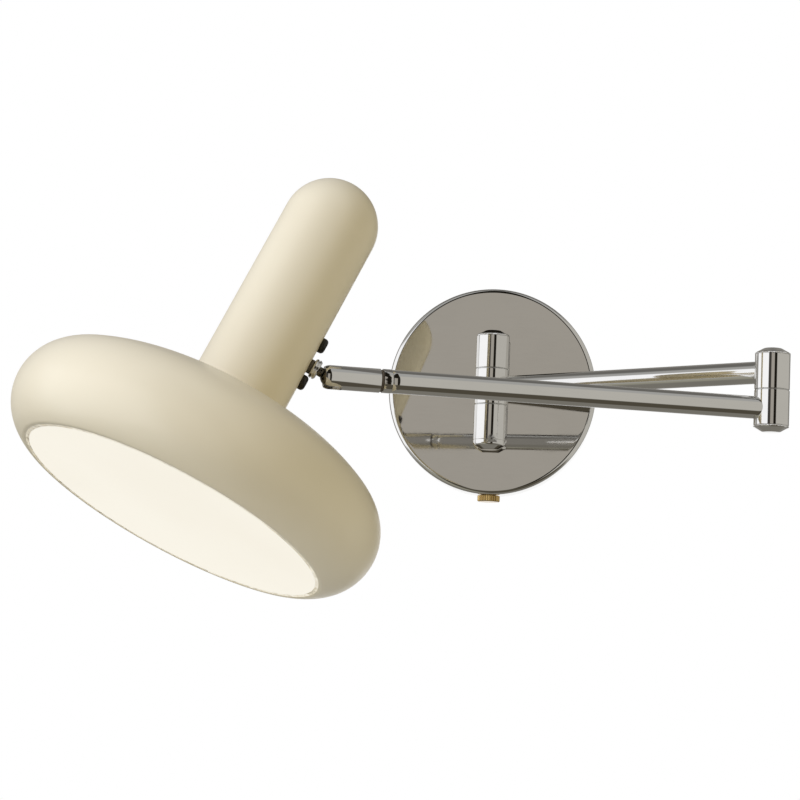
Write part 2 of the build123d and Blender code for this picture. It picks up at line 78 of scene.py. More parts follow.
# points nearer than the first are one, and edges shorter than the second go, in metres
MERGED = 1e-7
SHORTEST = 1e-8

Point = tuple[float, float, float]
Colour = tuple[float, float, float]
Span = tuple[float, ...]
Node = bpy.types.Node
Socket = bpy.types.NodeSocket


class Slot(str, Enum):
    """Material slots of the record that the pieces take their finishes from."""

    CHROME = "chrome"
    ZINC = "zinc_steel"
    BALL = "ball_steel"
    DARK_STEEL = "dark_steel"
    BRASS = "brass"
    PAINT = "cream_paint"
    OPAL = "opal"
    NYLON = "dark_nylon"
    WHITE = "white_plastic"
    ALUMINIUM = "bare_aluminium"
    BOARD = "white_board"
    PHOSPHOR = "led_phosphor"


# Frames and outlines


@dataclass(frozen=True)
class Placement:
    """A local frame in the object, whose own points are in millimetres."""

    origin: np.ndarray
    axes: np.ndarray

    @classmethod
    def along(cls, origin: np.ndarray, x_axis: np.ndarray, y_axis: np.ndarray) -> Placement:
        """Frame from its origin in metres and its first two axes.

        Args:
            origin: the frame's origin, in metres.
            x_axis: direction of local X.
            y_axis: direction of local Y, square to it.

        Returns:
            The frame, with a right-handed third axis.
        """
        first = np.asarray(x_axis, float) / np.linalg.norm(x_axis)
        second = np.asarray(y_axis, float) / np.linalg.norm(y_axis)
        axes = np.column_stack([first, second, np.cross(first, second)])
        return cls(np.asarray(origin, float), axes)

    def metres(self, points: np.ndarray) -> np.ndarray:
        """Points of the object, in metres, from local ones in millimetres."""
        return self.origin + points @ self.axes.T * MILLIMETRE

    def moved(self, x: float = 0.0, y: float = 0.0, z: float = 0.0) -> Placement:
        """The same frame, moved along its own axes by millimetres."""
        return Placement(self.metres(np.array([x, y, z])), self.axes)

    def turned(self, about: str, angle: float) -> Placement:
        """The same frame, turned about one of its own axes.

        Args:
            about: the axis, x, y or z.
            angle: the turn in degrees.

        Returns:
            The turned frame.
        """
        c, s = np.cos(np.radians(angle)), np.sin(np.radians(angle))
        about_x = np.array([[1, 0, 0], [0, c, -s], [0, s, c]])
        turn = np.roll(about_x, "xyz".index(about), axis=(0, 1))
        return Placement(self.origin, self.axes @ turn)

    def spindle(self) -> Placement:
        """The frame whose Z axis is this one's X axis, for pieces turned about X."""
        x_axis, y_axis, z_axis = self.axes.T
        return Placement(self.origin, np.column_stack([-z_axis, y_axis, x_axis]))


def arc(
    centre: tuple[float, float] | np.ndarray, radius: float, start: float, end: float, steps: int
) -> np.ndarray:
    """Points of a circular arc in an outline's plane of radius and height.

    Args:
        centre: the arc's centre.
        radius: its radius.
        start: angle of its first point in degrees, from the outward direction upwards.
        end: angle of its last point.
        steps: how many chords it has.

    Returns:
        An array of steps + 1 points.
    """
    angle = np.radians(np.linspace(start, end, steps + 1))
    return np.asarray(centre) + radius * np.column_stack([np.cos(angle), np.sin(angle)])


def rounded(
    corners: list[Point], closed: bool, steps: int = 6, guard: float = 0.12
) -> np.ndarray:
    """Outline through corners whose third number is the radius of their rounding.

    A corner of angle a and radius r leaves its two sides at r / tan(a / 2) from the corner,
    and an arc joins those two points. A guard point lies on each side just past the arc, so
    that a flat or a straight wall next to a small round shades as flat.

    Args:
        corners: radius, height and rounding of each corner, in millimetres.
        closed: whether the last corner joins the first.
        steps: chords in each arc.
        guard: distance from an arc to its guard points.

    Returns:
        An array of outline points.
    """
    points = np.array([corner[:2] for corner in corners], float)
    made: list[np.ndarray] = []
    for index, (here, (_, _, size)) in enumerate(zip(points, corners)):
        ends = not closed and index in (0, len(corners) - 1)
        if ends or size <= 0:
            made.append(here[None, :])
            continue
        to_last = points[index - 1] - here
        to_next = points[(index + 1) % len(points)] - here
        unit_last = to_last / np.linalg.norm(to_last)
        unit_next = to_next / np.linalg.norm(to_next)
        half = np.arccos(np.clip(unit_last @ unit_next, -1, 1)) / 2
        reach = size / np.tan(half)
        middle = unit_last + unit_next
        centre = here + middle / np.linalg.norm(middle) * size / np.sin(half)
        first, last = here + unit_last * reach, here + unit_next * reach
        start, end = (np.degrees(np.arctan2(*(point - centre)[::-1])) for point in (first, last))
        shorter = (end - start + 180) % 360 - 180
        bend = arc(centre, size, start, start + shorter, steps)
        room_last = min(guard, GUARD_SHARE * (np.linalg.norm(to_last) - reach))
        room_next = min(guard, GUARD_SHARE * (np.linalg.norm(to_next) - reach))
        before = first + unit_last * room_last
        after = last + unit_next * room_next
        made.append(np.vstack([before, bend, after]))
    return np.vstack(made)


# Meshes


def write_smooth(work: bmesh.types.BMesh, mesh: bpy.types.Mesh) -> bpy.types.Mesh:
    """Write an edited mesh to Blender's, with smooth faces.

    Args:
        work: the edited mesh, which is freed.
        mesh: the mesh that takes it.

    Returns:
        The same mesh.
    """
    work.to_mesh(mesh)
    work.free()
    mesh.polygons.foreach_set("use_smooth", np.ones(len(mesh.polygons), bool))
    mesh.update()
    return mesh


def linked(name: str, data: bpy.types.ID) -> bpy.types.Object:
    """New object in the scene.

    Args:
        name: the object's name.
        data: its mesh, lamp or camera.

    Returns:
        The object.
    """
    made = bpy.data.objects.new(name, data)
    bpy.context.scene.collection.objects.link(made)
    return made


@dataclass
class Surface:
    """A mesh in the making: points, in metres once placed, and faces of point numbers."""

    points: np.ndarray
    faces: np.ndarray

    @classmethod
    def grid(cls, points: np.ndarray, wrap_u: bool, wrap_v: bool) -> Surface:
        """Surface over a grid of points.

        Args:
            points: array of rows by columns by three.
            wrap_u: whether the last row joins the first.
            wrap_v: whether the last column joins the first.

        Returns:
            The surface, with one face of four corners between four neighbours.
        """
        rows, columns = points.shape[:2]
        number = np.arange(rows * columns).reshape(rows, columns)
        if wrap_u:
            number = np.vstack([number, number[:1]])
        if wrap_v:
            number = np.hstack([number, number[:, :1]])
        corners = [number[:-1, :-1], number[:-1, 1:], number[1:, 1:], number[1:, :-1]]
        faces = np.stack(corners, axis=-1).reshape(-1, 4)
        return cls(points.reshape(-1, 3), faces)

    @classmethod
    def turned(cls, outline: np.ndarray, closed: bool, segments: int = 128) -> Surface:
        """Outline of radius and height turned about Z.

        A point of radius r and height z becomes (r cos t, r sin t, z) at each of the
        segments' angles t.

        Args:
            outline: array of radius and height.
            closed: whether its last point joins its first.
            segments: how many sides the turned piece has.

        Returns:
            The surface.
        """
        angle = np.linspace(0, 2 * np.pi, segments, endpoint=False)
        radius, height = outline[:, :1], outline[:, 1:]
        flat = [radius * np.cos(angle), radius * np.sin(angle)]
        points = np.stack([*flat, np.broadcast_to(height, flat[0].shape)], axis=-1)
        return cls.grid(points, wrap_u=closed, wrap_v=True)

    def placed(self, place: Placement) -> Surface:
        """The same surface with its points in metres, in the object's frame."""
        return Surface(place.metres(self.points), self.faces)

    def joined(self, other: Surface) -> Surface:
        """This surface and another as one."""
        return Surface(
            np.vstack([self.points, other.points]),
            np.vstack([self.faces, other.faces + len(self.points)]),
        )

    def mesh(self, name: str) -> bpy.types.Mesh:
        """Blender mesh of the surface: doubles merged, faces outwards, smooth.

        Args:
            name: the mesh's name.

        Returns:
            The mesh.
        """
        made = bpy.data.meshes.new(name)
        made.from_pydata(self.points.tolist(), [], self.faces.tolist())
        work = bmesh.new()
        work.from_mesh(made)
        bmesh.ops.remove_doubles(work, verts=work.verts, dist=MERGED)
        bmesh.ops.dissolve_degenerate(work, edges=work.edges, dist=SHORTEST)
        bmesh.ops.recalc_face_normals(work, faces=work.faces)
        return write_smooth(work, made)


def ring(outer: float, inner: float, low: float, high: float, edge: float) -> Surface:
    """Ring about Z between two heights, its inner edges half as round as its outer ones."""
    corners = [(outer, low, edge), (outer, high, edge), (inner, high, edge / 2), (inner, low, edge / 2)]
    return Surface.turned(rounded(corners, closed=True), closed=True)


def coped_ring(inner: float, outer: float, start: float, distance: float, mate: float) -> Surface:
    """Ring about Z from a flat end to an end that fits a round bar along Y.

    At a distance x across the bar, its far end lies at d - sqrt(R^2 - x^2), where the axis
    of the bar of radius R has the height d.

    Args:
        inner: the ring's inner radius.
        outer: its outer radius.
        start: height of its flat end.
        distance: height of the bar's axis.
        mate: the bar's radius.

    Returns:
        The surface.
    """
    rows = []
    for radius, coped in ((inner, False), (outer, False), (outer, True), (inner, True)):
        across = radius * np.cos(RING_ANGLES)
        far = distance - np.sqrt(mate**2 - across**2)
        height = far if coped else np.full_like(far, start)
        rows.append(np.column_stack([across, radius * np.sin(RING_ANGLES), height]))
    return Surface.grid(np.array(rows), wrap_u=True, wrap_v=True)


# Shader node helpers


class Nodes:
    """Short ways to add and join nodes in one node tree."""

    def __init__(self, tree: bpy.types.NodeTree) -> None:
        """Keep the tree."""
        self.tree = tree

    def add(self, kind: str, **settings: object) -> Node:
        """Add a node.

        Args:
            kind: the node's type.
            settings: its properties, by name.

        Returns:
            The node.
        """
        node = self.tree.nodes.new(kind)
        for key, value in settings.items():
            setattr(node, key, value)
        return node

    def feed(self, target: Socket, value: object) -> None:
        """Give an input what it reads.

        Args:
            target: the input.
            value: another node's socket, or a number, vector or colour.
        """
        if isinstance(value, Socket):
            self.tree.links.new(value, target)
        elif target.type == "RGBA":
            target.default_value = (*value, 1.0)
        else:
            target.default_value = value

    def fill(self, node: Node, **values: object) -> Node:
        """Feed a node's inputs.

        Args:
            node: the node.
            values: what each input reads, by its name with underscores for spaces.

        Returns:
            The same node.
        """
        for key, value in values.items():
            self.feed(node.inputs[key.replace("_", " ")], value)
        return node

    def place(self, group: bpy.types.NodeTree, **values: float) -> Node:
        """Add a shader group with its own values."""
        return self.fill(self.add("ShaderNodeGroup", node_tree=group), **values)

    def math(self, operation: str, *values: object) -> Socket:
        """Result of a Math node.

        Args:
            operation: the node's operation.
            values: its inputs in order, numbers or sockets.

        Returns:
            The result's socket.
        """
        node = self.add("ShaderNodeMath", operation=operation)
        for target, value in zip(node.inputs, values):
            self.feed(target, value)
        return node.outputs[0]

    def step(self, value: Socket, start: float, full: float) -> Socket:
        """Smooth change from 0 to 1.

        Args:
            value: what is measured.
            start: where the result is 0.
            full: where it is 1, above or below the start.

        Returns:
            The result's socket.
        """
        rising = start <= full
        node = self.add("ShaderNodeMapRange", interpolation_type="SMOOTHSTEP")
        self.fill(node, Value=value, From_Min=min(start, full), From_Max=max(start, full))
        self.fill(node, To_Min=float(not rising), To_Max=float(rising))
        return node.outputs["Result"]

    def within(self, value: Socket, span: Span) -> Socket:
        """Mask of a span: its near edge's step, times its far edge's where it has one."""
        near = self.step(value, *span[:2])
        return near if len(span) == 2 else self.math("MULTIPLY", near, self.step(value, span[3], span[2]))

    def mix(self, share: Socket, first: object, second: object) -> Socket:
        """Mix of two colours or sockets.

        Args:
            share: 0 for the first colour, 1 for the second.
            first: colour or socket.
            second: colour or socket.

        Returns:
            The mixed colour's socket.
        """
        node = self.add("ShaderNodeMix", data_type="RGBA")
        for target, value in zip((node.inputs["Factor"], *node.inputs[6:8]), (share, first, second)):
            self.feed(target, value)
        return node.outputs[2]

    def layered(self, base: object, *layers: tuple) -> Socket:
        """Colour with others laid over it in order.

        Args:
            base: the first colour.
            layers: a mask and a colour for each of the others.

        Returns:
            The last mix's socket.
        """
        for mask, colour in layers:
            base = self.mix(mask, base, colour)
        return base

    def noise(self, place: object, scale: object, detail: float) -> Socket:
        """Noise over a place."""
        node = self.add("ShaderNodeTexNoise")
        return self.fill(node, Vector=place, Scale=scale, Detail=detail).outputs["Fac"]

    def bump(self, grain: Node, strength: float, depth: float) -> Socket:
        """Normal of a surface with a grain whose depth is in metres."""
        node = self.fill(self.add("ShaderNodeBump"), Strength=strength, Distance=depth)
        return self.fill(node, Height=grain.outputs["Height"]).outputs["Normal"]


def open_group(
    name: str, inputs: dict[str, float], outputs: tuple[str, ...]
) -> tuple[Nodes, Node, Node, Socket]:
    """New shader group whose sockets are numbers.

    Args:
        name: the group's name.
        inputs: each input's name and default value.
        outputs: each output's name.

    Returns:
        Its nodes, its input node, its output node and its Object coordinates.
    """
    group = bpy.data.node_groups.new(name, "ShaderNodeTree")
    for key, value in inputs.items():
        made = group.interface.new_socket(key, in_out="INPUT", socket_type="NodeSocketFloat")
        made.default_value = value
    for key in outputs:
        group.interface.new_socket(key, in_out="OUTPUT", socket_type="NodeSocketFloat")
    work = Nodes(group)
    place = work.add("ShaderNodeTexCoord").outputs["Object"]
    return work, work.add("NodeGroupInput"), work.add("NodeGroupOutput"), place


def handling_film() -> bpy.types.NodeTree:
    """Group for the faint film of wiping and touching that every glossy finish has.

    A broad cloud noise and a finer one drawn out into streaks are added. Its Film output is
    their sum as a mask from 0 to 1, and its Roughness runs from Least to Most with it.
    """
    work, given, made, place = open_group(
        "handling film", {"Scale": 30.0, "Least": 0.03, "Most": 0.08}, ("Film", "Roughness")
    )
    scale, least = given.outputs["Scale"], given.outputs["Least"]
    stretch, finer, streak_share = 7.0, 4.0, 0.5
    drawn_out = work.fill(work.add("ShaderNodeMapping"), Vector=place, Scale=(1.0, 1.0, stretch))
    cloud = work.noise(place, scale, detail=3.0)
    streak = work.noise(drawn_out.outputs["Vector"], work.math("MULTIPLY", scale, finer), detail=5.0)
    both = work.math("ADD", cloud, work.math("MULTIPLY", streak, streak_share))
    film = work.step(both, start=0.55, full=1.0)
    span = work.math("SUBTRACT", given.outputs["Most"], least)
    work.fill(made, Film=film, Roughness=work.math("MULTIPLY_ADD", film, span, least))
    return work.tree


def fine_grain() -> bpy.types.NodeTree:
    """Group for a fine even grain: orange peel in paint, or the tooth of moulded plastic.

    Its Height output is a noise of the given scale, and Tone is a slower noise for colour.
    """
    work, given, made, place = open_group(
        "fine grain", {"Scale": 900.0, "Tone Scale": 12.0}, ("Height", "Tone")
    )
    height = work.noise(place, given.outputs["Scale"], detail=2.0)
    tone = work.noise(place, given.outputs["Tone Scale"], detail=4.0)
    work.fill(made, Height=height, Tone=work.step(tone, start=0.3, full=0.7))
    return work.tree


class SharedEffects:
    """The shader groups that several finishes use, built once."""

    def __init__(self) -> None:
        """Build the groups."""
        self.film = handling_film()
        self.grain = fine_grain()


def blank_material(name: str) -> tuple[bpy.types.Material, Nodes, Node]:
    """New material with one Principled shader.

    Args:
        name: the material's name.

    Returns:
        The material, its nodes and the shader.
    """
    material = bpy.data.materials.new(name)
    material.use_nodes = True
    return material, Nodes(material.node_tree), material.node_tree.nodes["Principled BSDF"]


@dataclass(frozen=True)
class Plating:
    """A plated or turned metal with a thin film of handling."""

    name: str
    colour: Colour
    least_roughness: float
    most_roughness: float
    film_tint: float = 0.94
    film_scale: float = 30.0
    brushed: float = 0.0
    brush_scale: float = 1400.0
    brush_depth: float = 2e-5

    def build(self, effects: SharedEffects) -> bpy.types.Material:
        """Make the material.

        Args:
            effects: the shared shader groups.

        Returns:
            The material.
        """
        material, work, shader = blank_material(self.name)
        least, most = self.least_roughness, self.most_roughness
        film = work.place(effects.film, Scale=self.film_scale, Least=least, Most=most)
        dulled = tuple(part * self.film_tint for part in self.colour)
        colour = work.mix(film.outputs["Film"], self.colour, dulled)
        work.fill(shader, Metallic=1.0, Base_Color=colour, Roughness=film.outputs["Roughness"])
        if self.brushed > 0:
            grain = work.place(effects.grain, Scale=self.brush_scale)
            work.fill(shader, Normal=work.bump(grain, self.brushed, self.brush_depth))
        return material


@dataclass(frozen=True)
class Coating:
    """Paint or moulded plastic: two close tones, a fine grain and an even gloss."""

    name: str
    colour: Colour
    second: Colour
    roughness: float
    grain_scale: float = 1500.0
    grain_depth: float = 2e-5
    coat: float = 0.0
    coat_roughness: float = 0.25
    bump: float = 0.35
    film_scale: float = 18.0
    least_share: float = 0.92
    most_share: float = 1.12

    def build(self, effects: SharedEffects) -> bpy.types.Material:
        """Make the material.

        Args:
            effects: the shared shader groups.

        Returns:
            The material.
        """
        material, work, shader = blank_material(self.name)
        grain = work.place(effects.grain, Scale=self.grain_scale)
        least, most = self.roughness * self.least_share, self.roughness * self.most_share
        film = work.place(effects.film, Scale=self.film_scale, Least=least, Most=most)
        colour = work.mix(grain.outputs["Tone"], self.colour, self.second)
        work.fill(shader, Base_Color=colour, Roughness=film.outputs["Roughness"])
        work.fill(shader, Normal=work.bump(grain, self.bump, self.grain_depth))
        if self.coat > 0:
            work.fill(shader, Coat_Weight=self.coat, Coat_Roughness=self.coat_roughness)
        return material


@dataclass(frozen=True)
class LitOpal:
    """Opal acrylic lit from behind: an even glow, a shade dimmer in a soft cloud."""

    name: str
    glow: Colour
    dimmer: Colour
    strength: float
    body: Colour
    cloud_scale: float = 9.0
    roughness: float = 0.5

    def build(self, effects: SharedEffects) -> bpy.types.Material:
        """Make the material.

        Args:
            effects: the shared shader groups.

        Returns:
            The material.
        """
        material, work, shader = blank_material(self.name)
        grain = work.place(effects.grain, Tone_Scale=self.cloud_scale)
        glow = work.mix(grain.outputs["Tone"], self.glow, self.dimmer)
        work.fill(shader, Emission_Color=glow, Emission_Strength=self.strength)
        work.fill(shader, Base_Color=self.body, Roughness=self.roughness)
        return material


class Finishes:
    """Every finish of the lamp, by its material slot."""

    def __init__(self) -> None:
        """Build the shared effects and the materials."""
        effects = SharedEffects()
        made = {
            Slot.CHROME: Plating("polished chrome", (0.80, 0.79, 0.77), 0.025, 0.06, 0.97),
            Slot.ZINC: Plating("bright zinc", (0.62, 0.62, 0.60), 0.22, 0.38, 0.85, 60.0, 0.3),
            # the ball's steel gets a dark brown colour that paints the shade in the socket's mouth: painted
            # shade
            Slot.BALL: Plating("steel with painted shade", (0.13, 0.115, 0.09), 0.12, 0.22),
            Slot.DARK_STEEL: Plating("black oxide steel", (0.055, 0.05, 0.042), 0.28, 0.42),
            Slot.BRASS: Plating("turned brass", (0.60, 0.42, 0.17), 0.14, 0.30, 0.8, 60.0, 0.2),
            Slot.PAINT: Coating(
                "cream paint", (0.825, 0.735, 0.50), (0.805, 0.71, 0.475), 0.34, 700.0, coat=0.2
            ),
            Slot.NYLON: Coating("brown nylon", (0.10, 0.08, 0.055), (0.085, 0.07, 0.045), 0.5),
            Slot.WHITE: Coating("white plastic", (0.83, 0.82, 0.79), (0.80, 0.79, 0.76), 0.5),
            Slot.ALUMINIUM: Plating("milled aluminium", (0.75, 0.75, 0.75), 0.28, 0.42, 0.9, 60.0, 0.4),
            Slot.BOARD: Coating(
                "solder mask", (0.85, 0.85, 0.83), (0.83, 0.83, 0.81), 0.35, grain_depth=1e-5
            ),
            Slot.PHOSPHOR: Coating(
                "phosphor", (0.93, 0.76, 0.25), (0.9, 0.72, 0.2), 0.4, grain_depth=1e-5
            ),
            Slot.OPAL: LitOpal(
                "lit opal", (1.0, 0.955, 0.84), (0.97, 0.92, 0.80), 0.86, (0.12, 0.115, 0.10)
            ),
        }
        self.materials = {slot: finish.build(effects) for slot, finish in made.items()}

    def of(self, slot: Slot) -> bpy.types.Material:
        """The material of a slot."""
        return self.materials[slot]


# The lamp's own frames and sizes


class LampFrame:
    """Local frames of the lamp's bodies at rest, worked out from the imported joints."""

    head_turn = -3.5
    stem_reach = 37.0
    stem_height = 101.7
    neck_radius = 25.0

    def __init__(self, frame: dict) -> None:
        """Work the frames out.
        """
        joints = {joint["name"]: joint for joint in frame["joints"]}
        hinges = ("wall_swing", "elbow_swing", "socket_swivel")
        turning = ("socket_swivel", "head_tilt", "head_spin")
        wall, elbow, tip = (np.array(joints[name]["pos_m"]) for name in hinges)
        arm, tilt, stem = (np.array(joints[name]["axis"]) for name in turning)
        up = np.array([0.0, 0.0, 1.0])
        low = np.array([*elbow[:2], tip[2]])
        self.nodes = frame["nodes"]
        self.rear_length = np.linalg.norm(elbow - wall) / MILLIMETRE
        self.front_length = np.linalg.norm(tip - low) / MILLIMETRE
        self.wall = Placement.along(wall, [1, 0, 0], [0, 1, 0])
        self.rear = Placement.along(wall, elbow - wall, np.cross(up, elbow - wall))
        self.elbow = Placement(elbow, self.rear.axes)
        self.front = Placement.along(low, arm, np.cross(up, arm))
        self.tip = Placement(tip, self.front.axes)
        self.ball = Placement.along(tip, stem, tilt)
        self.head = self.ball.turned("x", self.head_turn)
        self.shade = self.head.moved(x=self.stem_reach, z=-self.stem_height)


@dataclass
class Maker:
    """What every sub-assembly needs: the local frames and the finishes."""

    places: LampFrame
    finishes: Finishes

    def add(
        self, name: str, mesh: bpy.types.Mesh, body: str, slot: Slot, *nodes: str
    ) -> bpy.types.Object:
        """Put a modelled piece in the scene, on its body, in the place of its nodes.

        Args:
            name: the piece's name.
            mesh: its mesh, in metres.
            body: the body it rides on.
            slot: the record's material slot it takes its finish from.
            nodes: the frame's nodes that it stands for.

        Returns:
            The Blender object.
        """
        piece = linked(name, mesh)
        mesh.materials.append(self.finishes.of(slot))
        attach(piece, body)
        if nodes:
            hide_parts(*nodes)
        log.info("%s: %d faces on %s", name, len(mesh.polygons), body)
        return piece

    def piece(
        self, name: str, surface: Surface, place: Placement, body: str, slot: Slot, *nodes: str
    ) -> None:
        """Add a piece from its surface in a local frame."""
        self.add(name, surface.placed(place).mesh(name), body, slot, *nodes)


@dataclass
class Canopy(Maker):
    """Mirror-bright spun canopy on the wall, its two spacer rings and its thumb screw."""

    radius: float = 60.0
    depth: float = 20.0
    crown: float = 1.2
    wall: float = 1.2
    edge: float = 3.0
    lip: float = 0.3
    axis_rise: float = 0.5
    post_spread: float = 21.5
    collar_radius: float = 7.0
    post_radius: float = 4.5
    barrel_distance: float = 33.0
    barrel_radius: float = 9.4
    thumb_height: float = 10.0
    thumb_radius: float = 6.5
    thumb_thickness: float = 3.6
    thumb_shank: float = 2.0
    thumb_gap: float = 0.05
    thumb_round: float = 0.8
    thumb_shank_length: float = 8.0
    tail_round: float = 0.3
    ridges: int = 28
    ridge_sides: int = 12
    ridge_depth: float = 0.35
    ridge_start: float = 0.8

    def cup(self, radius: float, depth: float, edge: float) -> np.ndarray:
        """Open outline of a cup from its mouth to its middle.

        The face is an arc of radius (r^2 + c^2) / (2 c) for a crown c over a radius r, and
        the edge is a quarter round tangent to the side and to the face.

        Args:
            radius: the cup's radius.
            depth: height of its face where it meets the side, were it sharp.
            edge: radius of the quarter round.

        Returns:
            The outline.
        """
        sphere = (radius**2 + self.crown**2) / (2 * self.crown)
        centre_height = depth + self.crown - sphere
        # the edge's centre is one edge radius inside the side and the face's sphere
        edge_centre_r = radius - edge
        edge_centre_z = centre_height + np.sqrt((sphere - edge) ** 2 - edge_centre_r**2)
        tilt = np.degrees(np.arctan2(edge_centre_z - centre_height, edge_centre_r))
        corner = arc((edge_centre_r, edge_centre_z), edge, 0.0, tilt, steps=16)
        face = arc((0.0, centre_height), sphere, tilt, 90.0, steps=48)[1:]
        # the side's last row stays a little below the edge's first point
        side_height = edge_centre_z * np.linspace(0, 0.97, 6)
        side = np.column_stack([np.full_like(side_height, radius), side_height])
        return np.vstack([side, corner, face])

    def shell(self) -> Surface:
        """The canopy's shell, outside and inside, with a small bevel on both sides of its mouth."""
        outside = self.cup(self.radius, self.depth, self.edge)
        inside = self.cup(self.radius - self.wall, self.depth - self.wall, self.edge - self.wall)[::-1]
        outside[0, 1] = self.lip
        inside[-1, 1] = self.lip
        foot = np.array([[self.radius - self.lip, 0.0], [self.radius - self.wall + self.lip, 0.0]])
        loop = np.vstack([outside, inside, foot[::-1]])
        return Surface.turned(loop, closed=True, segments=256)

    def collar(self, side: int) -> Surface:
        """Spacer ring between the canopy and a wall barrel, coped to the barrel.

        Args:
            side: 1 for the upper one, -1 for the lower.

        Returns:
            The surface.
        """
        radii = (self.post_radius, self.collar_radius)
        surface = coped_ring(*radii, self.depth, self.barrel_distance, self.barrel_radius)
        surface.points[:, 1] += self.axis_rise + side * self.post_spread
        return surface

    def thumb_screw(self) -> Surface:
        """Knurled head and plain shank along Z, from the canopy's side outwards.

        The rim's radius is R - d (1 + cos(n t)) / 2 for n ridges of depth d, which fade in
        between the ridges' start and the rim.
        """
        top = self.radius + self.thumb_thickness
        seat = self.radius + self.thumb_gap
        tail = self.radius - self.thumb_shank_length
        corners = [
            (0.0, top, 0.0),
            (self.thumb_radius, top, self.thumb_round),
            (self.thumb_radius, seat, self.thumb_round / 2),
            (self.thumb_shank, seat, 0.0),
            (self.thumb_shank, tail, self.tail_round),
            (0.0, tail, 0.0),
        ]
        sides = self.ridges * self.ridge_sides
        surface = Surface.turned(rounded(corners, closed=False), closed=False, segments=sides)
        flat = surface.points[:, :2]
        radius = np.linalg.norm(flat, axis=1)
        angle = np.arctan2(flat[:, 1], flat[:, 0])
        start = self.ridge_start * self.thumb_radius
        share = np.clip((radius - start) / (self.thumb_radius - start), 0, 1)
        cut = share * self.ridge_depth * (1 + np.cos(self.ridges * angle)) / 2
        scale = np.where(radius > 0, (radius - cut) / np.maximum(radius, 1e-9), 1.0)
        surface.points[:, :2] = flat * scale[:, None]
        return surface

    def build(self) -> None:
        """Add the canopy's pieces."""
        room = Placement.along([0, 0, 0], [1, 0, 0], [0, 0, 1])
        self.piece("canopy_cover", self.shell(), room, "wall_mount", Slot.CHROME, "canopy")
        collars = self.collar(1).joined(self.collar(-1))
        self.piece("post_spacers", collars, room, "wall_mount", Slot.CHROME, "post_collars")
        down = room.moved(z=self.thumb_height).turned("x", 90.0)
        self.piece("thumb_screw", self.thumb_screw(), down, "wall_mount", Slot.BRASS, "canopy_screw")


@dataclass
class Barrels(Maker):
    """Turned barrels and caps of the wall hinge and the elbow."""

    radius: float = 9.4
    bore: float = 5.05
    fixed_bore: float = 5.02
    seam_edge: float = 0.25
    cap_height: float = 3.0
    cap_flat: float = 4.7
    cap_round: float = 2.4
    cap_edge: float = 1.6
    cap_side: float = 0.4
    cap_foot_round: float = 0.12
    spigot_radius: float = 3.48
    spigot_length: float = 5.0
    spigot_round: float = 0.3
    hinge_half: float = 10.1
    seam_gap: float = 0.5
    wall_top: float = 32.7
    wall_bottom: float = 36.1
    bottom_skirt: float = 2.4
    seam_drop: float = 9.8
    elbow_half: float = 22.4

    def cap(self, skirt: float) -> Surface:
        """End cap: a skirt, a wide bevel, a flat top, and a spigot below.

        Args:
            skirt: height of its plain side.

        Returns:
            The surface.
        """
        top = skirt + self.cap_height
        corners = [
            (0.0, top, 0.0),
            (self.cap_flat, top, self.cap_round),
            (self.radius, skirt + self.cap_side, self.cap_edge),
            (self.radius, 0.0, self.cap_foot_round),
            (self.spigot_radius, 0.0, 0.0),
            (self.spigot_radius, -self.spigot_length, self.spigot_round),
            (0.0, -self.spigot_length, 0.0),
        ]
        return Surface.turned(rounded(corners, closed=False, steps=8), closed=False)

    def build(self) -> None:
        """Add the barrels and caps. A cap below its hinge's middle is turned over."""
        places = self.places
        fixed, free = self.fixed_bore, self.bore
        half, gap = self.hinge_half, self.seam_gap
        top = self.wall_top - self.cap_height
        bottom = self.cap_height + self.bottom_skirt - self.wall_bottom
        seam = -self.seam_drop
        elbow_top = seam + self.elbow_half - self.cap_height
        elbow_low = seam - self.elbow_half + self.cap_height
        upper = (seam + gap / 2, elbow_top)
        lower = (elbow_low + gap, seam - gap / 2)
        barrels = (
            ("wall_barrel_top", places.wall, (half + gap, top), fixed, "wall_mount", "wall_barrel_upper"),
            ("wall_barrel_low", places.wall, (bottom, -half - gap), fixed, "wall_mount", "wall_barrel_lower"),
            ("hinge_barrel", places.rear, (-half, half), free, "rear_arm", "rear_hinge_barrel"),
            ("elbow_upper", places.elbow, upper, fixed, "rear_arm", "elbow_barrel_upper"),
            ("elbow_lower", places.elbow, lower, free, "front_arm", "elbow_barrel_lower"),
        )
        for name, place, heights, bore, body, node in barrels:
            barrel = ring(self.radius, bore, *heights, self.seam_edge)
            self.piece(name, barrel, place, body, Slot.CHROME, node)
        caps = (
            ("wall_cap_top", places.wall, top, 0.0, "wall_mount", "wall_top_cap"),
            ("wall_cap_low", places.wall, bottom, self.bottom_skirt, "wall_mount", "wall_bottom_cap"),
            ("elbow_cap_top", places.elbow, elbow_top, 0.0, "rear_arm", "elbow_top_cap"),
            ("elbow_cap_low", places.elbow, elbow_low, 0.0, "rear_arm", "elbow_bottom_cap"),
        )
        for name, place, height, skirt, body, node in caps:
            seat = place.moved(z=height).turned("x", 0.0 if height > 0 else 180.0)
            self.piece(name, self.cap(skirt), seat, body, Slot.CHROME, node)


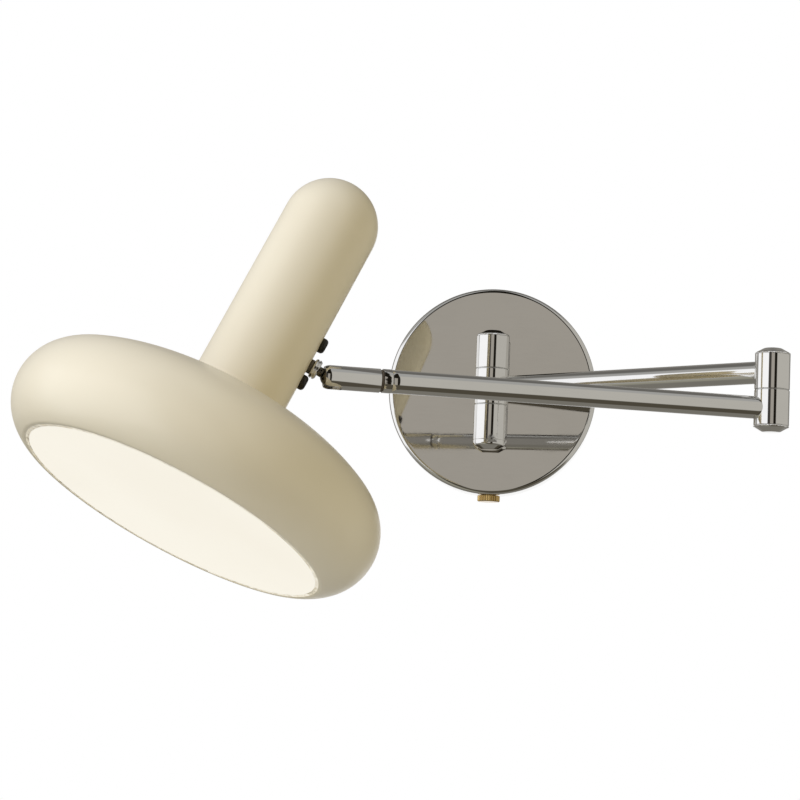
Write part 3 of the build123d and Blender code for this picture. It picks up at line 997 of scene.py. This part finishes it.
@dataclass
class Arms(Maker):
    """The two chromed tubes, coped where they enter their barrels.

    The front tube closes up to the socket, whose own turned groove, with a dark ring laid in it as painted
    shade, is the line that shows.
    """

    radius: float = 6.0
    bore: float = 5.0
    edge: float = 0.25
    seat: float = 7.4
    socket_length: float = 31.8
    swivel_seam: float = 0.1

    def tube(self, length: float, coped_far: bool) -> Surface:
        """Hollow tube along X with one or two coped ends.

        At an angle t round the tube, a coped end lies at sqrt(s^2 - (r cos t)^2) from the
        barrel's axis, where s is the seat's radius.

        Args:
            length: distance from the near barrel's axis to the far end or barrel's axis.
            coped_far: whether the far end is coped too.

        Returns:
            The surface.
        """
        rows = []
        edge = self.edge
        station = np.array([0.0, 0.0, 0.02, 0.25, 0.5, 0.75, 0.98, 1.0, 1.0])
        inset = np.array([edge, 0.0, 0.0, 0.0, 0.0, 0.0, 0.0, 0.0, edge])
        push = np.array([0.0, edge, 0.0, 0.0, 0.0, 0.0, 0.0, -edge, 0.0])
        outer = zip(station, self.radius - inset, push)
        inner = zip(station[::-1], np.full(len(station), self.bore), np.zeros(len(station)))
        for share, radius, shift in (*outer, *inner):
            across = radius * np.cos(RING_ANGLES)
            start = np.sqrt(self.seat**2 - across**2)
            end = length - start if coped_far else np.full_like(start, length)
            along = start + (end - start) * share + shift
            rows.append(np.column_stack([along, across, radius * np.sin(RING_ANGLES)]))
        return Surface.grid(np.array(rows), wrap_u=True, wrap_v=True)

    def build(self) -> None:
        """Add both tubes."""
        places = self.places
        rear = self.tube(places.rear_length, coped_far=True)
        self.piece("rear_tube", rear, places.rear, "rear_arm", Slot.CHROME, "rear_arm_tube")
        reach = places.front_length - self.socket_length - self.swivel_seam
        front = self.tube(reach, coped_far=False)
        self.piece("front_tube", front, places.front, "front_arm", Slot.CHROME, "front_arm_tube")


@dataclass
class Head(Maker):
    """Painted neck and shade with the lit diffuser."""

    neck_wall: float = 1.2
    neck_gap: float = 0.05
    dome_height: float = 173.0
    shade_radius: float = 100.0
    shade_wall: float = 1.2
    shade_hole: float = 15.0
    equator: float = 25.0
    crown_slope: float = 30.0
    crown_radius: float = 90.0
    rim_radius: float = 83.4
    diffuser_radius: float = 82.0
    diffuser_thickness: float = 2.4
    diffuser_round: float = 0.4
    diffuser_edge: float = 0.1

    def bead(self) -> float:
        """Radius of the bead, whose arc runs from the rim through the equator."""
        setback = self.shade_radius - self.rim_radius
        return (setback**2 + self.equator**2) / (2 * setback)

    def shade_line(self, inset: float) -> np.ndarray:
        """Outline of the shade from its rim to the neck, set in by inset.

        The bead is one arc through the rim and the equator, the crown is an arc of the other
        hand that is tangent to it, and ends level.

        Args:
            inset: how far inside the outer face it lies.

        Returns:
            The outline.
        """
        bead = self.bead() - inset
        centre = (self.shade_radius - self.bead(), self.equator)
        under = arc(centre, bead, -np.degrees(np.arcsin(self.equator / bead)), 0.0, steps=40)
        over = arc(centre, bead, 0.0, 90.0 - self.crown_slope, steps=48)[1:]
        lean = np.radians(self.crown_slope)
        radius = self.crown_radius - inset
        middle = over[-1] - radius * np.array([np.sin(lean), np.cos(lean)])
        crown = arc((middle[0], middle[1]), radius, 90.0 - self.crown_slope, 90.0, steps=24)[1:]
        return np.vstack([under, over, crown])

    def build(self) -> None:
        """Add the neck, the shade and the diffuser."""
        place = self.places.shade
        outer = self.shade_line(0.0)
        inner = self.shade_line(self.shade_wall)[::-1]
        top = outer[-1, 1]
        hole = [[self.shade_hole, top], [self.shade_hole, top - self.shade_wall]]
        shell = Surface.turned(np.vstack([outer, hole, inner]), closed=True, segments=384)
        self.piece("shade", shell, place, "head", Slot.PAINT, "shade_shell")
        low = top + self.neck_gap
        radius = self.places.neck_radius
        bore = radius - self.neck_wall
        heights = np.linspace(low, self.dome_height, num=20)
        side = np.column_stack([np.full_like(heights, radius), heights])
        dome = arc((0.0, self.dome_height), radius, 0.0, 90.0, steps=48)[1:]
        inside = arc((0.0, self.dome_height), bore, 90.0, 0.0, steps=24)
        neck = Surface.turned(np.vstack([side, dome, inside, [[bore, low]]]), closed=True, segments=192)
        self.piece("neck", neck, place, "head", Slot.PAINT, "neck_shell")
        corners = [
            (0.0, 0.0, 0.0),
            (self.diffuser_radius, 0.0, self.diffuser_round),
            (self.diffuser_radius, self.diffuser_thickness, self.diffuser_edge),
            (0.0, self.diffuser_thickness, 0.0),
        ]
        plate = Surface.turned(rounded(corners, closed=False), closed=False, segments=256)
        self.piece("lit_diffuser", plate, place, "head", Slot.OPAL, "diffuser")


@dataclass
class Knuckle(Maker):
    """Slotted socket, ball stud, collar and bush, the two screws on the neck, and a dark ring of painted
    shade in the socket's groove.
    """

    ball_radius: float = 5.0
    stem_radius: float = 2.5
    stem_bore: float = 1.4
    stem_end: float = 22.4
    collar_start: float = 6.6
    collar_end: float = 10.2
    collar_radius: float = 5.2
    collar_chamfer: float = 0.7
    collar_groove: float = 0.5
    collar_round: float = 0.2
    collar_groove_round: float = 0.08
    fit: float = 0.03
    bush_radius: float = 3.8
    screw_rise: float = 1.6
    screw_spread: float = 11.1
    screw_radius: float = 4.0
    screw_height: float = 3.2
    screw_sunk: float = 0.35
    screw_round: float = 1.9
    screw_shank: float = 2.0
    screw_end: float = 19.5
    recess_reach: float = 2.1
    recess_rim: float = 0.2
    recess_rings: int = 34
    recess_half: float = 0.42
    recess_slope: float = 0.16
    recess_end_slope: float = 0.256
    recess_depth: float = 1.3
    recess_turn: float = 20.0
    edge_width: float = 0.14
    sharp_angle: float = 30.0
    merged: float = 0.001
    groove_place: float = 26.7
    groove_half: float = 0.8
    groove_lip: float = 0.06
    groove_floor: float = 5.2
    # radius and edge round of the dark ring in the socket's groove, which is painted shade
    groove_shade_ring: float = 5.7
    groove_shade_ring_round: float = 0.1

    def ball(self) -> Surface:
        """Ball and stem about Z: an arc of the ball's radius that runs into the stem."""
        radius, bore, end = self.stem_radius, self.stem_bore, self.stem_end
        lowest = -np.degrees(np.arccos(bore / self.ball_radius))
        neck = np.degrees(np.arccos(radius / self.ball_radius))
        round_part = arc((0.0, 0.0), self.ball_radius, lowest, neck, steps=72)
        stem = [[radius, self.collar_start], [radius, end], [bore, end]]
        return Surface.turned(np.vstack([round_part, stem]), closed=True)

    def collar(self) -> Surface:
        """Ring with bevelled edges and a turned groove half way, the same on both sides of it."""
        middle = (self.collar_start + self.collar_end) / 2
        half = (self.collar_end - self.collar_start) / 2
        groove = self.collar_groove / 2
        radius, chamfer = self.collar_radius, self.collar_chamfer
        lower = [
            (self.stem_radius + self.fit, -half, 0.0),
            (radius - chamfer, -half, self.collar_round),
            (radius, chamfer - half, self.collar_round),
            (radius, -groove, self.collar_groove_round),
            (radius - self.collar_groove, -groove, self.collar_groove_round),
        ]
        upper = [(reach, -height, size) for reach, height, size in reversed(lower)]
        corners = [(reach, middle + height, size) for reach, height, size in (*lower, *upper)]
        return Surface.turned(rounded(corners, closed=True, steps=4, guard=0.05), closed=True)

    def bush(self) -> Surface:
        """Ring from the collar to the neck, coped to it."""
        start = self.collar_end + self.fit
        radii = (self.stem_radius + 2 * self.fit, self.bush_radius)
        return coped_ring(*radii, start, self.places.stem_reach, self.places.neck_radius)

    def screw(self) -> Surface:
        """Pan head with a cross recess and its shank, about Z, with z = 0 on the neck's axis.

        The recess lowers each point within its reach by a depth times the product of a
        smooth edge across the nearer arm of the cross and a smooth edge at the arm's end.
        """
        top = self.places.neck_radius + self.screw_height
        seat = self.places.neck_radius - self.screw_sunk
        spokes = np.linspace(0, self.recess_reach + self.recess_rim, self.recess_rings)
        crown = np.column_stack([spokes, np.full_like(spokes, top)])
        corners = [
            (spokes[-1], top, 0.0),
            (self.screw_radius, top, self.screw_round),
            (self.screw_radius, seat, 0.0),
            (self.screw_shank, seat, 0.0),
            (self.screw_shank, self.screw_end, 0.0),
            (0.0, self.screw_end, 0.0),
        ]
        side = rounded(corners, closed=False, steps=10, guard=0.05)
        surface = Surface.turned(np.vstack([crown[:-1], side]), closed=False, segments=160)
        x, y, z = surface.points.T
        nearer = np.minimum(np.abs(x), np.abs(y))
        across = np.clip((self.recess_half + self.recess_slope - nearer) / self.recess_slope, 0, 1)
        along = np.clip((self.recess_reach - np.hypot(x, y)) / self.recess_end_slope, 0, 1)
        on_top = z > top - 1e-6
        surface.points[:, 2] = z - np.where(on_top, self.recess_depth * across * along, 0.0)
        return surface

    def screws(self) -> Surface:
        """Both screws in metres, with their axes square to the neck's."""
        made = []
        for side in (-1, 1):
            height = self.places.stem_height + self.screw_rise + side * self.screw_spread
            outward = self.places.shade.moved(z=height).turned("z", 180.0).spindle()
            made.append(self.screw().placed(outward.turned("z", self.recess_turn * side)))
        return made[0].joined(made[1])

    def cut_groove(self, work: bmesh.types.BMesh) -> None:
        """Turn a groove into the socket's outside.

        The mesh is cut along four planes square to the arm, and its points from the inner two
        planes inwards that lie outside the groove's floor move in to it.

        Args:
            work: the socket's mesh, changed in place.
        """
        origin, axis = self.places.tip.origin, self.places.tip.axes[:, 0]
        inner_half = self.groove_half - self.groove_lip
        for offset in (-self.groove_half, -inner_half, inner_half, self.groove_half):
            point = origin - axis * (self.groove_place + offset) * MILLIMETRE
            everything = work.verts[:] + work.edges[:] + work.faces[:]
            bmesh.ops.bisect_plane(work, geom=everything, dist=SHORTEST, plane_co=point, plane_no=axis)
        work.verts.ensure_lookup_table()
        points = np.array([vert.co for vert in work.verts]) - origin
        along = points @ axis
        spoke = points - along[:, None] * axis
        radius = np.linalg.norm(spoke, axis=1) / MILLIMETRE
        near = np.abs(along / MILLIMETRE + self.groove_place) < inner_half + self.groove_lip / 2
        for number in np.flatnonzero(near & (radius > self.groove_floor)):
            moved = origin + along[number] * axis + spoke[number] * (self.groove_floor / radius[number])
            work.verts[number].co = moved

    def groove_painted_shade_ring(self) -> Surface:
        """Dark ring that lies in the groove, about Z, as painted shade of the groove's dark line."""
        half = self.groove_half - 2 * self.groove_lip
        return ring(self.groove_shade_ring, self.groove_floor + self.fit, -half, half, self.groove_shade_ring_round)

    def socket(self) -> None:
        """Add the socket: its solid's mesh with a groove and softened edges."""
        work = bmesh.new()
        work.from_mesh(self.places.nodes["ball_socket"].data)
        merged = self.merged * MILLIMETRE
        bmesh.ops.remove_doubles(work, verts=work.verts, dist=merged)
        bmesh.ops.dissolve_degenerate(work, edges=work.edges, dist=merged)
        self.cut_groove(work)
        sharp = np.radians(self.sharp_angle)
        for edge in work.edges:
            edge.smooth = not (edge.is_manifold and edge.calc_face_angle(0.0) > sharp)
        mesh = write_smooth(work, bpy.data.meshes.new("slotted_socket"))
        piece = self.add("slotted_socket", mesh, "socket", Slot.CHROME, "ball_socket")
        bevel = piece.modifiers.new("softened edges", "BEVEL")
        bevel.width = self.edge_width * MILLIMETRE
        bevel.segments = 2
        bevel.limit_method = "ANGLE"
        bevel.angle_limit = sharp
        bevel.harden_normals = True

    def build(self) -> None:
        """Add the knuckle's pieces."""
        places = self.places
        spindle = places.ball.spindle()
        self.piece("ball_and_stem", self.ball(), spindle, "ball", Slot.BALL, "ball_stud")
        self.piece("collar_ring", self.collar(), spindle, "ball", Slot.CHROME, "stud_collar")
        head = places.head.spindle().turned("z", 90.0)
        self.piece("neck_bush", self.bush(), head, "head", Slot.NYLON, "stud_bush")
        name = "pan_head_screws"
        self.add(name, self.screws().mesh(name), "head", Slot.DARK_STEEL, "neck_screws")
        self.socket()
        # a dark ring laid in the socket's groove paints the groove's shade line: painted shade
        arm = places.tip.moved(x=-self.groove_place).spindle()
        self.piece("groove_shade_ring", self.groove_painted_shade_ring(), arm, "socket", Slot.NYLON)


def dress_nodes(frame: dict, finishes: Finishes) -> None:
    """Give every node of the frame the finish of its slot.

    Args:
        finishes: the lamp's finishes.
    """
    slots = {part["node"]: part["material_slot"] for part in frame["record"]["subparts"]}
    for name, node in frame["nodes"].items():
        node.data.materials.clear()
        node.data.materials.append(finishes.of(Slot(slots[name])))


# Studio, light and camera


@dataclass(frozen=True)
class StudioCards:
    """Plain cards round the lamp, as a world, by turn and rise in degrees from straight ahead.

    A bright panel stands on the left, a grey card ahead between two dark strips, a paler
    card on the right, a pale backdrop behind, and there are a dim floor and a ceiling. A
    span says where a card starts and where it is full, and where it has a far edge, where
    it starts to fade and where it is gone.
    """

    white: Colour = (1.0, 1.0, 1.0)
    panel: Colour = (1.13, 1.14, 1.17)
    ahead: Colour = (0.40, 0.375, 0.335)
    strip: Colour = (0.012, 0.010, 0.007)
    shadow: Colour = (0.055, 0.050, 0.045)
    right: Colour = (0.53, 0.515, 0.475)
    behind: Colour = (0.26, 0.25, 0.23)
    floor_left: Colour = (0.34, 0.33, 0.27)
    floor_ahead: Colour = (0.085, 0.075, 0.055)
    floor_behind: Colour = (0.21, 0.20, 0.175)
    ceiling: Colour = (0.42, 0.42, 0.41)
    ceiling_behind: Colour = (0.16, 0.155, 0.145)
    panel_turn: Span = (-112.0, -104.0, -30.0, -26.0)
    panel_rise: Span = (-30.0, -26.0, 28.0, 34.0)
    strip_turn: Span = (8.0, 11.0, 24.0, 28.0)
    upper_turn: Span = (-28.0, -24.0, 20.0, 24.0)
    upper_rise: Span = (27.0, 31.0, 78.0, 86.0)
    shadow_turn: Span = (-9.0, -13.0)
    right_turn: Span = (24.0, 28.0)
    left_turn: Span = (-26.0, -32.0)
    left_rear: Span = (100.0, 115.0)
    right_rear: Span = (125.0, 140.0)
    rear_half: Span = (80.0, 100.0)
    floor_turn: Span = (-45.0, -25.0)
    floor_rise: Span = (-32.0, -40.0)
    ceiling_rise: Span = (44.0, 56.0)
    backdrop_turn: Span = (164.0, 166.0)
    backdrop_rise: Span = (16.0, 14.0)

    def build(self) -> None:
        """Make the world: white to the camera, the cards to everything else.

        The backdrop is white to metal and glass too, where they show what is behind.
        """
        world = bpy.data.worlds.new("studio cards")
        bpy.context.scene.world = world
        world.use_nodes = True
        work = Nodes(world.node_tree)
        within, layered = work.within, work.layered
        sight = work.add("ShaderNodeTexCoord").outputs["Generated"]
        parts = work.fill(work.add("ShaderNodeSeparateXYZ"), Vector=sight).outputs
        degree = 180.0 / np.pi
        forward = work.math("MULTIPLY", parts["Y"], -1.0)
        turn = work.math("MULTIPLY", work.math("ARCTAN2", parts["X"], forward), degree)
        rise = work.math("MULTIPLY", work.math("ARCSINE", parts["Z"]), degree)
        away = work.math("ABSOLUTE", turn)
        rear = within(away, self.rear_half)
        left = layered(self.ceiling, (within(away, self.left_rear), self.behind))
        ceiling = layered(self.ceiling, (rear, self.ceiling_behind))
        floor = layered(
            self.floor_left, (within(turn, self.floor_turn), self.floor_ahead), (rear, self.floor_behind)
        )
        panel = work.math("MULTIPLY", within(turn, self.panel_turn), within(rise, self.panel_rise))
        upper = work.math("MULTIPLY", within(turn, self.upper_turn), within(rise, self.upper_rise))
        height = work.math("ABSOLUTE", rise)
        backdrop = work.math("MULTIPLY", within(away, self.backdrop_turn), within(height, self.backdrop_rise))
        path = work.add("ShaderNodeLightPath").outputs
        through = work.math("MAXIMUM", path["Is Glossy Ray"], path["Is Transmission Ray"])
        seen = work.math("MULTIPLY", backdrop, through)
        colour = layered(
            self.ahead,
            (within(turn, self.right_turn), self.right),
            (within(turn, self.strip_turn), self.strip),
            (within(turn, self.shadow_turn), self.shadow),
            (within(turn, self.left_turn), left),
            (within(turn, self.right_rear), self.behind),
            (panel, self.panel),
            (within(rise, self.floor_rise), floor),
            (within(rise, self.ceiling_rise), ceiling),
            (upper, self.strip),
            (work.math("MAXIMUM", path["Is Camera Ray"], seen), self.white),
        )
        work.fill(world.node_tree.nodes["Background"], Color=colour, Strength=1.0)


def stand(
    item: bpy.types.Object, place: Point, right: np.ndarray, up: np.ndarray, back: np.ndarray
) -> None:
    """Put a lamp or a camera at a place, with its own axes in three directions."""
    axes = np.column_stack([right, up, back])
    item.matrix_world = Matrix.Translation(place) @ Matrix(axes.tolist()).to_4x4()


@dataclass(frozen=True)
class Softbox:
    """A large soft lamp that lights the paint and doesn't show in the chrome."""

    name: str
    place: Point
    aim: Point
    side: float
    power: float
    colour: Colour

    def build(self) -> None:
        """Add the lamp."""
        data = bpy.data.lights.new(self.name, "AREA")
        data.shape = "SQUARE"
        data.size = self.side
        data.energy = self.power
        data.color = self.colour
        lamp = linked(self.name, data)
        back = np.subtract(self.place, self.aim)
        back /= np.linalg.norm(back)
        right = np.cross([0.0, 0.0, 1.0], back)
        right /= np.linalg.norm(right)
        stand(lamp, self.place, right, np.cross(back, right), back)
        lamp.visible_glossy = False


@dataclass(frozen=True)
class Studio:
    """Floor, cards and lamps."""

    floor_height: float = -0.95
    floor_side: float = 3.0
    floor_colour: Colour = (0.85, 0.85, 0.84)
    floor_roughness: float = 0.8
    lamps: tuple[Softbox, ...] = (
        Softbox("key", (-1.5, -1.3, 1.3), (-0.1, -0.15, -0.05), 1.0, 34.0, (0.92, 1.0, 1.38)),
        Softbox("fill", (1.2, -1.6, 0.2), (-0.05, -0.15, -0.05), 1.4, 4.2, (1.0, 0.84, 0.5)),
    )

    def build(self) -> None:
        """Add the floor, the cards and the lamps."""
        StudioCards().build()
        half, height = self.floor_side / 2, self.floor_height
        around = ((-half, -half), (half, -half), (half, half), (-half, half))
        mesh = bpy.data.meshes.new("floor")
        mesh.from_pydata([(x, y, height) for x, y in around], [], [(0, 1, 2, 3)])
        floor = linked("floor", mesh)
        material, work, shader = blank_material("pale floor")
        work.fill(shader, Base_Color=self.floor_colour, Roughness=self.floor_roughness)
        mesh.materials.append(material)
        floor.visible_glossy = False
        for lamp in self.lamps:
            lamp.build()


@dataclass(frozen=True)
class PhotoCamera:
    """The photograph's camera: its place in metres, its turn in radians, its focal length
    in pixels of a frame PHOTO_SIDE wide, and where its view begins, in metres."""

    place: Point = (0.05372, -1.51313, -0.18505)
    yaw: float = 0.07142
    pitch: float = 0.11833
    roll: float = 0.04185
    focal_pixels: float = 2600.0
    nearest: float = 0.05

    def build(self) -> None:
        """Add the camera and make it the scene's."""
        data = bpy.data.cameras.new("photo camera")
        data.sensor_width = SENSOR_WIDTH
        data.lens = self.focal_pixels * SENSOR_WIDTH / PHOTO_SIDE
        data.clip_start = self.nearest
        camera = linked("photo camera", data)
        ahead = np.array([-np.sin(self.yaw), np.cos(self.yaw), 0.0]) * np.cos(self.pitch)
        forward = ahead + np.array([0.0, 0.0, np.sin(self.pitch)])
        level = np.array([np.cos(self.yaw), np.sin(self.yaw), 0.0])
        upright = np.cross(level, forward)
        right = np.cos(self.roll) * level + np.sin(self.roll) * upright
        up = np.cos(self.roll) * upright - np.sin(self.roll) * level
        stand(camera, self.place, right, up, -forward)
        bpy.context.scene.camera = camera


def main() -> None:
    """Build the lamp's looks around its frame."""
    logging.basicConfig(level=logging.INFO, format="%(name)s %(message)s")
    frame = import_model()
    bpy.context.scene.view_settings.view_transform = "Standard"
    PhotoCamera().build()
    Studio().build()
    finishes = Finishes()
    places = LampFrame(frame)
    dress_nodes(frame, finishes)
    for assembly in (Canopy, Barrels, Arms, Head, Knuckle):
        assembly(places, finishes).build()


if __name__ == "__main__":
    main()
